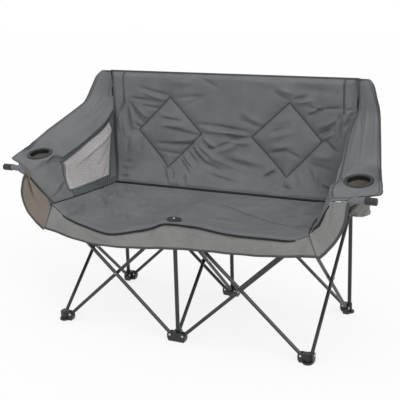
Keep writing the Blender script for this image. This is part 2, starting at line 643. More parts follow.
seatFolds = [  # across and depth of both ends from the seat's middle, width and lift, in millimetres
    (-510, -272, -485, -194, 9, 5), (-494, -247, -469, -160, 9, -6), (-458, -272, -439, -198, 8, -8),
    (-464, -245, -454, -143, 12, 9), (-467, -275, -477, -243, 7, 5), (-439, -198, -453, -130, 12, -5),
    (-451, -148, -428, -38, 12, 5), (-407, -75, -415, -25, 9, -7), (-420, -83, -461, -46, 14, 6),
    (-414, -21, -433, 42, 14, 6), (-442, 73, -364, 54, 9, -7), (-435, 64, -384, 5, 8, -5),
    (-444, 46, -430, -12, 8, -6), (-409, 85, -334, 30, 14, 6), (-400, -89, -365, -59, 7, -4),
    (-346, -82, -220, -84, 5, -5), (-317, -65, -255, -62, 8, 4), (-362, -77, -318, -143, 14, -5),
    (-326, -92, -272, -149, 14, 5), (-373, -162, -371, -90, 14, 4), (-308, -193, -191, -174, 6, -4),
    (-302, -221, -89, -275, 7, 4), (-444, -255, -347, -205, 9, 3), (-446, -233, -349, -173, 8, -4),
    (-432, -172, -361, -64, 9, 3), (-306, 30, -167, 21, 14, 4), (-304, 62, -263, 20, 10, -4),
    (-229, -25, -126, -57, 12, -4), (-172, 107, -145, 98, 6, -5), (-274, 98, -150, 71, 14, 4),
    (-376, 9, -285, -7, 16, 5), (-325, -15, -251, 16, 14, -4), (-28, 69, 60, 33, 8, -5),
    (20, 121, 76, 7, 7, -6), (35, 104, 76, 24, 9, 5), (32, 51, 56, 7, 7, 4), (-111, 63, -67, 42, 7, -4),
    (134, -214, 247, -227, 5, -5), (247, -227, 396, -188, 5, -5), (84, -200, 222, -126, 9, 5),
    (160, -230, 248, -149, 8, 4), (266, -108, 284, -71, 7, -5), (244, -80, 267, -44, 9, 5),
    (244, 84, 257, 66, 6, -5), (331, 71, 373, 40, 7, -6), (361, -14, 391, 23, 9, -6),
    (391, 23, 474, -10, 10, -8), (364, 4, 486, -49, 9, 6), (364, 54, 448, 51, 10, 7),
    (349, -64, 395, -35, 8, 5), (383, -81, 453, -81, 8, -4), (427, -118, 496, -185, 8, 6),
    (345, -119, 476, -195, 8, 4), (413, -195, 495, -211, 7, 5), (285, -7, 356, 4, 14, 4),
    (155, 31, 242, 34, 16, 4), (99, 55, 194, 39, 14, -3), (412, 94, 468, 121, 9, 5),
    (282, 98, 346, 80, 8, 4),
]


# Top and underside of the seat, and the distance from the sewn line.
def seatSurfaces():
    across, deep = shareGrid(*seat["grid"], low=-1)
    top = seatPoint(across, deep)
    fill = seatFill(across, deep)
    flat = np.stack([top[..., 0], top[..., 1] - rowMiddle], -1)
    folds = ridges(flat, seatFolds) * np.sqrt(np.clip(fill, 0, 1))
    line = flat[..., 1] - smoothValue(seat["seamPlaces"], flat[..., 0])
    line = np.where(flat[..., 0] > seat["seamPlaces"][0][0], line, np.maximum(np.abs(line), 0.01))
    top[..., 2] += seat["crown"] * (fill - 1) + seat["foldShare"] * folds
    top[..., 2] -= seat["seamDepth"] * np.exp(-(line / seat["seamWidth"]) ** 2)
    return top, seatUnder(across, deep), line


seatTop, seatBelow, seatSeams = seatSurfaces()
seatPad = closedSheet("seat_pad", seatTop, seatBelow, greyPolyester, seamDistance=seatSeams)
fit(seatPad, "seat", "seat_cushion")

frontEdge = (seatTop[:, 0] + seatBelow[:, 0]) / 2 + [0, 0, seat["frontPipingRise"]]
seatEdges = [
    tapeAlong("seat_piping", frontEdge, (0, -1, 0.2), greyPolyester, seat["frontPiping"]),
    tapeAlong("seat_piping_low", seatBelow[:, 0] + seat["lowPipingPlace"], (0, -1, 0), blackPiping,
              seat["lowPiping"]),
]
for word, side in sides.items():
    line = seatTop[sideEnd[word]] + [0, 0, seat["sidePipingRise"]]
    seatEdges.append(tapeAlong(f"seat_piping_{word}", line, (side, 0, 0), blackPiping, seat["sidePiping"]))
for piece in seatEdges:
    fit(piece, "seat")


# The sling lies under the seat, and runs on behind it in a straight line to the rear hubs.
def slingSurface(below):
    across, deep = shareGrid(*seat["slingGrid"], low=-1)
    place = seatUnder(across, np.minimum(deep / seat["slingShare"], 1), seam + below)
    behind = np.maximum(0, (deep - seat["slingShare"]) / (1 - seat["slingShare"]))
    rear = placeAt(across, seat["slingRearDeepShare"], 0)
    rear[..., 2] = hubTop + seam + clothThickness - below
    return blendPlaces(place, rear, behind)


slingCloth = closedSheet("sling_cloth", slingSurface(0.0), slingSurface(heavyLayer), olivePolyester)
fit(slingCloth, "seat", "seat_sling")
gather([seatPad, *seatEdges, slingCloth])
print("seat made")

# Arm poles: the height of their upper side at a distance from the middle of the chair
pole = {
    "slope": np.arctan2(hubPin - footPin, bay - 2 * pinReach), "pinAcross": bay - pinReach,
    "span": 0.172, "bend": 0.062, "tip": 0.044,
}
poleDeep = -legOffset  # of the pole's middle line, in the row frame


# A straight line up from the hub's pin, and then the round of the bend.
def poleTop(across):
    straight = pole["pinAcross"] + pole["span"]
    tangent = np.tan(pole["slope"])
    bendAcross = straight + pole["bend"] * np.sin(pole["slope"])
    bendHigh = hubPin + pole["span"] * tangent - pole["bend"] * np.cos(pole["slope"])
    line = hubPin + (across - pole["pinAcross"]) * tangent + legRadius / np.cos(pole["slope"])
    aside = np.minimum(across - bendAcross, 0)
    bent = bendHigh + np.sqrt(np.maximum((pole["bend"] + legRadius) ** 2 - aside ** 2, 0))
    return np.where(across < straight, line, bent)


pole["endAcross"] = pole["pinAcross"] + pole["span"] + pole["bend"] * np.sin(pole["slope"]) + pole["tip"]
pole["endTop"] = float(poleTop(pole["endAcross"]))


# As placeAt, but out from the hub pins to the pole's end, and up from that end to the top of the back
def armPlaceAt(out, deep, rise):
    return placesFrom(bay + out * (pole["endAcross"] - bay), rowMiddle + deep * rowDepth,
                      pole["endTop"] + rise * (backTop - pole["endTop"]))


# Skirt: the front band that hangs from the sling's front edge
skirt = {
    "lowShares": [(-1, -0.115), (-0.65, -0.19), (-0.37, -0.19), (0.06, -0.145), (0.63, -0.116), (1, -0.07)],
    "endAcrossShares": (1.03, 1.09),
    "endRiseShares": (0.082, 0.084),
    "deepShare": -0.557,
    "waves": 5,
    "recess": 0.013,
    "recessShares": (0.7, 1),
    "recessEndShares": (0.8, 0.94),
    "hem": 0.004,
    "flat": (1.15, 0.075),
    "grid": (241, 41),
    "binding": (0.009, 0.005),
}
seatWithinSkirt = (seat["edgeShares"][0] + seat["cornerShare"]) / skirt["endAcrossShares"][0]

skirtFolds = [  # across and height of both ends, width and lift, all times 1000
    (0, 980, -90, 250, 22, 5), (20, 980, 60, 300, 20, 5), (-20, 960, -20, 400, 16, -4),
    (40, 960, 140, 500, 18, -4), (-60, 960, -220, 500, 20, 4), (70, 950, 250, 600, 20, 4),
    (-700, 900, -500, 400, 40, 5), (-450, 900, -350, 300, 40, -4), (700, 900, 620, 150, 40, 5),
    (975, 950, 880, 60, 16, -6), (500, 950, 300, 500, 40, -4), (850, 900, 800, 200, 30, 4),
    (-850, 950, -900, 300, 30, 4),
]


# A blend from the low edge up to the seat's front seam, or past the seat to the gusset's corner, with soft
# waves that grow downwards. Its upper edge draws back under the seat's lip.
def skirtPoint(across, height, behind=0.0):
    within = np.clip(across / seatWithinSkirt, -1, 1)
    top = seatUnder(within, np.zeros_like(within), seam) - [0, seam, 0]
    past = np.maximum(0, (np.abs(across) - seatWithinSkirt) / (1 - seatWithinSkirt))
    endAcross, lowAcross = skirt["endAcrossShares"]
    endRise = np.where(across < 0, *skirt["endRiseShares"])
    end = placeAt(np.sign(across) * endAcross, skirt["deepShare"], endRise)
    low = placeAt(across * lowAcross, skirt["deepShare"], smoothValue(skirt["lowShares"], across))
    place = blendPlaces(low, blendPlaces(top, end, past), height)
    wave = 1 + np.cos(2 * np.pi * skirt["waves"] * across)
    folds = ridges(np.stack([across, height], -1), skirtFolds) * np.sin(np.pi * np.clip(height, 0, 1)) ** 0.5
    recess = 1 - smoothStep(np.abs(across), *skirt["recessEndShares"])
    recess = recess * smoothStep(height, *skirt["recessShares"])
    place[..., 1] -= seam + clothThickness * (1 + wave * (1 - height)) - behind + folds
    place[..., 1] += skirt["recess"] * recess
    return place


across, height = shareGrid(*skirt["grid"], low=-1)
skirtFront, skirtRear = skirtPoint(across, height), skirtPoint(across, height, clothLayer)
skirtCloth = closedSheet("skirt_cloth", skirtFront, skirtRear, olivePolyester,
                         seamDistance=(1 - np.abs(across)) * bay - skirt["hem"])
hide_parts("skirt_front")
skirtTape = tapeAlong("skirt_binding", (skirtFront[:, 0] + skirtRear[:, 0]) / 2, (0, 0, -1), darkBinding,
                      skirt["binding"])
frontPieces = [skirtCloth, skirtTape]

# Side panels: from the seat's edge up to the arm's inner edge, with a net window and a webbing band
panel = {
    "startShare": 0.3, "rearShare": 0.35, "rearTopShare": 0.75, "belly": 0.012, "grid": (151, 91),
    # the cloth is laid out in three by three fields, the net in the middle one: where their borders run
    "fieldLengths": (0, 0.2, 0.7, 1), "fieldHeights": (0, 0.17, 0.83, 1),
    "lengths": [(0, 0.2, 0.68, 1), (0, 0.2, 0.68, 1), (0, 0.157, 0.623, 1), (0, 0.157, 0.623, 1)],
    "heights": [(0, 0, 0, 0), (0.17, 0.16, 0.22, 0.2), (0.84, 0.87, 0.82, 0.84), (1, 1, 1, 1)],
    "frontDrop": 0.024, "dropStart": 0.75, "recess": 0.028, "recessHeight": 0.9, "recessWidth": 0.09,
    "stitchLength": 0.36, "stitchHeight": 0.16, "stitchAside": 0.006,  # round the window
    "flat": (0.4, 0.2),
}

# Arms: a padded sheet from the back's corner down to the pole, with a hole for the cup holder
arm = {
    "inner": {
        "out": [(0, 0.113), (0.4, 0.083), (0.65, 0.225), (0.85, 0.338), (1, 0.394), (1.15, 0.563)],
        "deep": [(0, 0.452), (0.4, 0.446), (0.65, 0.09), (0.85, -0.216), (1, -0.41), (1.15, -0.515)],
        "rise": [(0, 1), (0.4, 0.576), (0.65, 0.28), (0.85, 0.111), (1, 0.049), (1.15, -0.095)],
    },
    "outer": {
        "out": [
            (0, 0.32), (0.1, 0.412), (0.2, 0.478), (0.4, 0.593), (0.65, 0.78), (0.85, 0.931), (1, 1.041),
            (1.15, 0.796)],
        "deep": [
            (0, 0.46), (0.1, 0.43), (0.2, 0.385), (0.4, 0.286), (0.65, 0), (0.85, -0.246), (1, -0.419),
            (1.15, -0.515)],
        "rise": [
            (0, 0.994), (0.1, 0.93), (0.2, 0.819), (0.4, 0.626), (0.65, 0.387), (0.85, 0.18), (1, 0.049),
            (1.15, 0.011)],
    },
    # how far across each arm's cloth reaches at its outer edge, along its length
    "reach": {
        "left": [
            (0, 1), (0.083, 1), (0.193, 0.93), (0.35, 0.865), (0.42, 0.905), (0.527, 0.936), (0.607, 0.975),
            (0.767, 1), (0.862, 1.015), (0.915, 0.7), (1, 0.66)],
        "right": [
            (0, 1), (0.107, 0.985), (0.25, 1.02), (0.41, 0.99), (0.6, 0.994), (0.75, 1), (0.84, 0.99),
            (0.905, 1.07), (0.94, 0.93), (1, 0.86)],
    },
    # how far the front of each arm's inner edge drapes inward and upward, and from where
    "drape": {"left": (0, 0), "right": (-0.045, 0.012)},
    "drapeStart": 0.74,
    "length": 1.15,
    "liftLength": 0.15,
    "overPole": 1.04,
    "padding": 0.004,
    "swell": 0.0035,
    "grid": (151, 71),
    # the inner edge's roll into the side panel: how far across, in and down, and where it starts and ends
    "rollShare": 0.32,
    "rollIn": 0.02,
    "rollDown": 0.018,
    "rollStart": (0.3, 0.5),
    "rollEnd": (0.78, 0.88),
    # from the inner edge to the double line of stitches, and between its lines
    "stitches": {"left": -0.01, "right": 0.0085},
    "stitchAside": 0.0025,
    "hem": 0.011,
    "binding": (0.008, 0.0062),
}
cup = {
    "placeShares": (0.629, -0.297, 0.09), "slope": np.radians(13),
    "ring": 0.104, "bore": 0.078, "flange": 0.005, "collar": 0.013, "wall": 0.002,
    "overlap": 0.004, "flatMargin": 0.008, "blendMargin": 0.018, "calmMargin": 0.03,
    "pouchDepth": 0.121, "pouchBottom": 0.077, "pouchEase": 0.0018, "pouchFlat": (0.26, 0.145),
    # the share of the way down where the bag's wall turns into its floor, and the floor's innermost ring
    "floorStart": 0.94, "leastRadius": 0.004, "taperStart": 0.35, "round": 96,
    # the pouch's crumples: how many round it, how they slant, where they start and how strong they are
    "crumples": [(3, 9, 0, 1), (5, -14, 1, 0.7), (8, 21, 0, 0.5)],
    "crumple": 0.0034, "crumpleStart": (0.1, 0.45), "crumpleEnd": (0.9, 1),
}
cupCentre = armPlaceAt(*cup["placeShares"])
armFlatReach = cup["ring"] / 2 + cup["flatMargin"]


# A place on one edge of the arm, each share from its own curve
def placeFrom(table, mark):
    return armPlaceAt(*(smoothValue(table[key], mark) for key in ("out", "deep", "rise")))


# A blend from the arm's inner edge to its outer one. Round the cup it lies on the cup's own slope, its
# inner edge rolls over into the side panel, and its front end lies over the pole.
def armPoint(word, length, across):
    mark = length * arm["length"]
    inner = placeFrom(arm["inner"], mark)
    beside = smoothValue(back["edgeShares"], (inner[..., 2] - hubPin) / (backTop - hubPin)) * bay
    inner[..., 0] = np.maximum(inner[..., 0], beside + 2 * seam)
    place = blendPlaces(inner, placeFrom(arm["outer"], mark), across)
    reach = np.hypot(place[..., 0] - cupCentre[0], place[..., 1] - cupCentre[1])
    level = cupCentre[2] + np.tan(cup["slope"]) * (place[..., 1] - cupCentre[1])
    flat = smoothStep(reach, armFlatReach, armFlatReach + cup["blendMargin"])
    place[..., 2] = level + (place[..., 2] - level) * flat
    place[..., 2] += back["topLift"] * (1 - smoothStep(length, 0, arm["liftLength"]))
    roll = (1 - smoothStep(across, 0, arm["rollShare"])) ** 2 * flat
    roll = roll * smoothStep(length, *arm["rollStart"]) * (1 - smoothStep(length, *arm["rollEnd"]))
    drape = (1 - across) ** 2 * smoothStep(length, arm["drapeStart"], 1)
    inward, upward = arm["drape"][word]
    place[..., 0] += inward * drape - arm["rollIn"] * roll
    place[..., 2] += upward * drape - arm["rollDown"] * roll
    over = poleTop(place[..., 0]) + (2 * seam + arm["padding"]) / np.cos(pole["slope"])
    place[..., 2] = np.where(mark > arm["overPole"], np.maximum(place[..., 2], over), place[..., 2])
    return place


armFolds = [  # length and across of both ends, width and lift, all times 1000
    (150, 250, 620, 120, 35, 5), (120, 100, 500, 330, 30, -4), (250, 500, 650, 420, 45, 4),
    (850, 100, 960, 650, 22, 4), (900, 250, 980, 800, 14, -3), (300, 850, 600, 800, 40, 3),
]


for word, side in sides.items():
    length, width = shareGrid(*arm["grid"])
    across = width * np.interp(length, *zip(*arm["reach"][word]))
    top = armPoint(word, length, across)
    reach = np.linalg.norm((top - cupCentre) * [1, 1 / np.cos(cup["slope"]), 0], axis=-1)
    calm = smoothStep(reach, armFlatReach, armFlatReach + cup["calmMargin"])
    normals = surfaceNormals(top)
    normals *= np.sign(normals[..., 2:3].mean())
    edges = np.sin(np.pi * width) ** 0.5
    relief = (ridges(np.stack([length, across], -1), armFolds) + arm["swell"]) * calm * edges
    top = top + normals * relief[..., None]
    below = top - normals * arm["padding"]
    # stitches: a double line along the inner edge, and the hems along the outer and the front edge
    inward, forward = lengthAlong(top, 1), lengthAlong(top, 0)
    stitches = np.abs(inward - arm["stitches"][word]) - arm["stitchAside"]
    hems = np.minimum(inward[:, -1:] - inward, forward[-1:] - forward) - arm["hem"]
    keep = reach[:-1, :-1] + reach[1:, 1:] > cup["ring"] - 2 * cup["overlap"]
    cloth = closedSheet(f"arm_cloth_{word}", mirrored(top, side), mirrored(below, side), armPolyester, keep,
                        np.minimum(stitches, hems))
    middle = (top + below) / 2
    edge = np.concatenate([middle[0, :-1], middle[:, -1]])
    outward = np.repeat([(0, 0.2, 1), (1, 0, 0.1)], (arm["grid"][1] - 1, arm["grid"][0]), axis=0)
    tape = tapeAlong(f"arm_binding_{word}", mirrored(edge, side), mirrored(outward, side), darkBinding,
                     arm["binding"])
    fit(cloth, f"foot_back_{word}", f"arm_{word}")
    fit(tape, f"foot_back_{word}")
    gatherBeside([cloth, tape])

# The hem of each arm's front edge: a wrinkled sleeve of cloth round the pole, open before the cap
hem = {
    "length": 0.08, "capRoom": 0.031, "radius": 0.0098, "upward": 0.0036, "wide": 0.0035, "lip": 0.0012,
    "lipStart": 0.93, "upwardFade": 0.6, "flat": (0.08, 0.075), "grid": (81, 49),
    # each wrinkle's height, and its waves round the pole, along it and from side to side
    "wrinkles": [(0.0011, 3, 17, 0), (0.0008, 5, -41, 1), (0.0006, 2, 67, 2)],
}

for word, side in sides.items():
    along, turn = shareGrid(*hem["grid"])
    turn = (2 * turn - 0.5) * np.pi
    across = pole["endAcross"] - hem["capRoom"] - hem["length"] * (1 - along)
    radius = hem["radius"] + hem["wide"] * (1 - along) ** 2
    radius += hem["lip"] * smoothStep(along, hem["lipStart"], 1)
    radius += hem["upward"] * np.maximum(np.sin(turn), 0) * (1 - hem["upwardFade"] * along)
    for high, round_, lengthwise, aside in hem["wrinkles"]:
        radius += high * np.sin(round_ * turn + lengthwise * along + aside * side)
    spoke = placesFrom(0, np.cos(turn), np.sin(turn))
    line = placesFrom(across, poleDeep, poleTop(across) - legRadius)
    outer, inner = (mirrored(line + spoke * r[..., None], side) for r in (radius, radius - heavyLayer))
    sleeve = closedSheet(f"arm_hem_{word}", outer, inner, armPolyester)
    fit(sleeve, f"leg_front_{word}_long")
print("arms made")


# A turned piece: the profile's radius and height carried round the upright axis, then turned as a whole.
def turnedPiece(name, profile, place, material, count, isRing=False, turn=np.eye(3)):
    radius, level = np.array(profile, float).T[..., None]
    round_ = fullTurn(count)
    rings = placesFrom(radius * np.cos(round_), radius * np.sin(round_), level)
    ends = None if isRing else [[0, 0, level[0, 0]], [0, 0, level[-1, 0]]]
    points, quads = ringSkin(rings, ends)
    return meshPiece(name, points @ turn.T + place, quads, material, sharpAngle=0.6)


# Points of an arc from one angle to another, in degrees
def arc(centre, radius, start, end, count=6):
    turn = np.radians(np.linspace(start, end, count))
    return [(centre[0] + radius * np.cos(t), centre[1] + radius * np.sin(t)) for t in turn]


# The bag under a cup ring: a tapering wall that sags in soft folds, its rim on the arm's slope.
def pouchMesh(name, side):
    top = cup["bore"] / 2 + cup["wall"] + cup["collar"] * np.tan(cup["slope"]) + seam
    bottom, depth = cup["pouchBottom"] / 2, cup["pouchDepth"]
    turn = fullTurn(cup["round"])
    floorStart = cup["floorStart"]
    down = np.concatenate([np.linspace(0, floorStart, 40), np.linspace(floorStart + 0.01, 1, 6)])[:, None]
    radius = top + cup["pouchEase"] + (bottom - top) * smoothStep(down, cup["taperStart"], 1)
    onFloor = bottom * np.sqrt(np.clip(1 - ((down - floorStart) / (1 - floorStart)) ** 2, 0, 1))
    radius = np.maximum(np.where(down > floorStart, onFloor, radius), cup["leastRadius"])
    crumple = sum(share * np.sin(round_ * turn + slant * down + start)
                  for round_, slant, start, share in cup["crumples"])
    amount = cup["crumple"] * smoothStep(down, *cup["crumpleStart"])
    amount = amount * (1 - smoothStep(down, *cup["crumpleEnd"]))
    outer = radius + amount * (crumple - 1.2)
    skins = []
    for r, lift in ((outer[::-1], 0), (np.maximum(outer - heavyLayer, 0.0025), heavyLayer)):
        low = down[::-1] if lift == 0 else down
        y = r * np.sin(turn) * np.cos(cup["slope"])
        z = lift * (low > 0.9) - depth * low + (1 - low) * np.tan(cup["slope"]) * y
        skins.append(placesFrom(r * np.cos(turn), y, z))
    points, quads = ringSkin(np.concatenate(skins), [[0, 0, -depth], [0, 0, -depth + heavyLayer]])
    cloth = np.stack([np.arctan2(points[:, 1], points[:, 0]) * 0.04, points[:, 2]], -1)
    piece = meshPiece(name, points + mirrored(cupCentre, side), quads, olivePolyester, cloth)
    # the coated lining shows inside it
    piece.data.materials.append(beigeLining)
    isInside = ((quads >= outer.size) & (quads < 2 * outer.size)).all(1)
    piece.data.polygons.foreach_set("material_index", isInside.astype(np.int32))
    return piece


bore, outer, wall = cup["bore"] / 2, cup["ring"] / 2, cup["wall"]
flange, collar = cup["flange"], cup["collar"]
cosine, sine = np.cos(cup["slope"]), np.sin(cup["slope"])
cupTilt = np.array([[1, 0, 0], [0, cosine, -sine], [0, sine, cosine]])
ringProfile = [
    (bore, -collar), (bore + wall, -collar), (bore + wall, seam), (outer, seam),
    *arc((outer - 0.002, seam + 0.002), 0.002, 0, 60),
    *arc((outer - 0.006, flange - 0.004), 0.004, 60, 90),
    (bore + 0.006, flange),
    *arc((bore + 0.003, flange - 0.003), 0.003, 90, 180),
]
for word, side in sides.items():
    cupRing = turnedPiece(f"cup_ring_moulded_{word}", ringProfile, mirrored(cupCentre, side), blackNylon,
                          cup["round"], isRing=True, turn=cupTilt)
    fit(cupRing, f"cup_{word}", f"cup_ring_{word}")
    pouch = pouchMesh(f"cup_bag_{word}", side)
    fit(pouch, f"cup_{word}", f"cup_pouch_{word}")
print("cup holders made")


# A blend from the seat's edge up to the arm's inner edge, bellied outwards. Its rear end follows the back.
def panelPoint(word, length, height):
    inside = clothThickness + seam
    high = armPoint(word, panel["startShare"] + (1 - panel["startShare"]) * length, np.zeros_like(length))
    high[..., 0] -= inside
    low = seatPoint(np.ones_like(length), 1 - length) + [inside, 0, -seat["crown"] - seat["edge"] / 2]
    low[..., 2] -= panel["frontDrop"] * smoothStep(length, panel["dropStart"], 1)
    place = blendPlaces(low, high, height)
    rise = np.maximum((place[..., 2] - hubPin) / (backTop - hubPin), back["lowShare"])
    beside = backPoint(np.ones_like(rise), rise) + [inside, 0, 0]
    beside[..., 2] = place[..., 2]
    rearward = 1 - smoothStep(length, 0, panel["rearShare"])
    place = blendPlaces(place, beside, rearward * (1 - smoothStep(height, panel["rearTopShare"], 1)))
    place[..., 0] += panel["belly"] * np.sin(np.pi * height) * np.sin(np.pi * length)
    over = poleTop(place[..., 0]) + 2 * inside
    place[..., 2] = np.where(length >= 1, np.maximum(place[..., 2], over), place[..., 2])
    return place


# Where a place of the three by three fields lies on the panel
def fieldPlace(a, b):
    rows = [[np.interp(a, panel["fieldLengths"], row) for row in panel[key]]
            for key in ("lengths", "heights")]
    index = np.clip(np.searchsorted(panel["fieldHeights"], b, side="right") - 1, 0, 2)
    low, high = np.take(panel["fieldHeights"], index), np.take(panel["fieldHeights"], index + 1)
    share = (b - low) / (high - low)
    return [np.choose(index, row[:3]) * (1 - share) + np.choose(index, row[1:]) * share for row in rows]


panelFolds = [  # length and height of both ends, width and lift, all times 1000
    (60, 900, 560, 780, 50, 9), (100, 760, 520, 640, 40, -7), (760, 800, 950, 300, 60, 6),
    (820, 900, 860, 250, 40, -6), (690, 360, 820, 215, 24, 9), (820, 215, 960, 265, 24, 9),
    (720, 440, 860, 300, 35, -7),
]


# The panel with its folds, and the hollow that the arm's rolled edge leaves above the window
def foldedPanel(word, length, height):
    bow = np.clip(np.sin(np.pi * length), 0, 1)
    edges = (bow * np.clip(np.sin(np.pi * height), 0, 1)) ** 0.5
    hollow = np.exp(-((height - panel["recessHeight"]) / panel["recessWidth"]) ** 2) * np.sqrt(bow)
    place = panelPoint(word, length, height)
    relief = ridges(np.stack([length, height], -1), panelFolds) + panel["recess"] * hollow
    place[..., 0] += edges * relief
    return place


# The net's bars both ways, with square holes between them. The pitch is coarser than the real knit's, so
# that the holes show. Its creases are lines in length and height.
net = {
    "pitch": 0.0038, "bar": 0.0021, "thickness": 0.0007, "inset": 0.0004, "width": 0.19, "height": 0.125,
    "flat": (0.24, 0.16),
    "creases": [(0.197, 0.6, 0.293, 0.4), (0.223, 0.32, 0.263, 0.16)], "panelSize": (0.44, 0.22),
}
band = {
    "lengths": (0.02, 0.68), "height": 0.026, "stand": 0.007, "ribs": 29, "ribHeight": 0.0008,
    "ribShade": 0.0035, "grid": (241, 15), "flat": (0.25, 0.027),
}


# Distance from the nearest crease, on the flat cloth.
def creaseDistance(length, height):
    flat = np.stack([length, height], -1) * net["panelSize"]
    nearest = np.ones(length.shape)
    for crease in net["creases"]:
        start, end = np.array(crease).reshape(2, 2) * net["panelSize"]
        share = np.clip(((flat - start) @ (end - start)) / np.sum((end - start) ** 2), 0, 1)
        away = np.linalg.norm(flat - start - share[..., None] * (end - start), axis=-1)
        nearest = np.minimum(nearest, away)
    return nearest


# Shares of the way across the net where its bars start and end, and which gaps between them are holes
def netMarks(width):
    gaps = int(width / net["pitch"])
    barShare = net["bar"] / net["pitch"]
    marks = np.add.outer(np.arange(gaps + 1), [0, barShare]).ravel()
    return marks / (gaps + barShare), np.arange(2 * gaps + 1) % 2 == 1


left, right = panel["fieldLengths"][1:3]
low, high = panel["fieldHeights"][1:3]
a, b = shareGrid(*panel["grid"])
cellA, cellB = ((grid[:-1, :-1] + grid[1:, 1:]) / 2 for grid in (a, b))
isOpen = (cellA > left) & (cellA < right) & (cellB > low) & (cellB < high)
windowLine = np.maximum(np.maximum(left - a, a - right) * panel["stitchLength"],
                        np.maximum(low - b, b - high) * panel["stitchHeight"]) - panel["stitchAside"]
(marksA, holesA), (marksB, holesB) = netMarks(net["width"]), netMarks(net["height"])
netA, netB = np.meshgrid(left + (right - left) * marksA, low + (high - low) * marksB, indexing="ij")
bandLength, bandShare = shareGrid(*band["grid"])
ribs = np.sin(2 * np.pi * band["ribs"] * bandLength)
bandLength = band["lengths"][0] + (band["lengths"][1] - band["lengths"][0]) * bandLength


# A sheet of the side panel, closed by its thickness outwards
def sidePiece(name, word, surface, thickness, material, solid, slot, **details):
    side = sides[word]
    front, rear = mirrored(surface, side), mirrored(surface + [thickness, 0, 0], side)
    piece = closedSheet(f"{name}_{word}", front, rear, material, **details)
    fit(piece, f"foot_back_{word}", f"{solid}_{word}")
    return piece


for word, side in sides.items():
    cloth = sidePiece("side_cloth", word, foldedPanel(word, *fieldPlace(a, b)), clothLayer, greyPolyester,
                      "side_panel", "grey_cloth", keep=~isOpen, seamDistance=windowLine)
    length, height = fieldPlace(netA, netB)
    knit = sidePiece("net_knit", word, foldedPanel(word, length, height) + [net["inset"], 0, 0],
                     net["thickness"], knitNet, "side_net", "pale_net",
                     keep=~(holesA[:, None] & holesB), seamDistance=creaseDistance(length, height))
    foot = panelPoint(word, bandLength, np.zeros_like(bandLength))
    upward = unit(panelPoint(word, bandLength, np.ones_like(bandLength)) - foot)
    surface = foot + upward * (band["stand"] + bandShare * band["height"])[..., None]
    surface[..., 0] -= clothThickness + 2 * seam + band["ribHeight"] * ribs
    webbing = sidePiece("webbing_band", word, surface, heavyLayer, ribbedWebbing, "side_band", "dark_webbing",
                        seamDistance=band["ribShade"] * (1 + ribs))
    gatherBeside([cloth, knit, webbing])
print("sides made")

# Gussets: at each end of the skirt, sewn to the front edge of the side panel, with a bound free edge
gusset = {
    # the free edge, from the low corner up to the arm pole
    "outShares": {"left": [(0.25, 0.37), (0.5, 0.55), (0.75, 0.623), (1, 0.5)],
                  "right": [(0.25, 0.29), (0.5, 0.455), (0.75, 0.575), (1, 0.64)]},
    "riseShares": {"left": [(0.25, -0.19), (0.5, 0.08), (0.75, 0.475), (1, 0.85)],
                   "right": [(0.25, -0.09), (0.5, 0.18), (0.75, 0.5), (1, 0.93)]},
    "lining": {"left": beigeLining, "right": olivePolyester},
    "cornerTurn": 8,
    "freeTurn": 4,
    "topReach": 0.026,
    "topStart": 0.8,
    "creaseDepth": {"left": 0.014, "right": 0.003},
    "creaseRises": (0.3, 0.75),
    "creaseFades": (0.94, 1),
    "creaseStart": 0.1,
    "creaseSlant": 0.7,
    "creaseWidth": 0.07,
    # a soft hollow beside the crease
    "hollowShare": 0.6,
    "hollowAside": 0.16,
    "hollowWidth": 0.1,
    "flat": (0.24, 0.068),
    "grid": (121, 61),
    "binding": (0.011, 0.005),
    "piping": {"left": (0.004, 0.004), "right": (0.012, 0.004)},
    "pipingRows": slice(8, -8),
    "pipingFront": 0.001,
}


# A blend from the side panel's front edge to the free edge. Its top reaches up to the hem round the pole,
# and a sharp crease runs down from there and fades out.
def gussetPoint(word, rise, out):
    side = sides[word]
    corners = skirtPoint(np.array([side, side]), np.array([1.0, 0.0]))
    skirtHigh, skirtLow = mirrored(corners, side) + [seam, 0, 0]
    line = panelPoint(word, np.ones_like(rise), rise)
    line[..., 1] = poleDeep - legRadius - seam - clothThickness
    line = blendPlaces(line, skirtHigh, np.maximum(0, 1 - gusset["cornerTurn"] * rise))
    free = armPlaceAt(smoothValue(gusset["outShares"][word], rise), skirt["deepShare"], 0)
    free[..., 2] = hubPin + smoothValue(gusset["riseShares"][word], rise) * (pole["endTop"] - hubPin)
    free = blendPlaces(skirtLow, free, np.minimum(1, gusset["freeTurn"] * rise))
    place = blendPlaces(line, free, out)
    high = poleTop(place[..., 0]) + gusset["topReach"] * (1 - out ** 4)
    place[..., 2] += np.maximum(0, high - place[..., 2]) * smoothStep(rise, gusset["topStart"], 1)
    place[..., 1] -= 2 * clothThickness * np.sin(np.pi * out) * np.sin(np.pi * rise)
    away = out - gusset["creaseStart"] - gusset["creaseSlant"] * (1 - rise)
    deep = gusset["creaseDepth"][word] * smoothStep(rise, *gusset["creaseRises"])
    deep = deep * (1 - smoothStep(rise, *gusset["creaseFades"]))
    hollow = np.exp(-((away + gusset["hollowAside"]) / gusset["hollowWidth"]) ** 2)
    place[..., 1] += deep * (np.exp(-(away / gusset["creaseWidth"]) ** 2) - gusset["hollowShare"] * hollow)
    return mirrored(place, side)


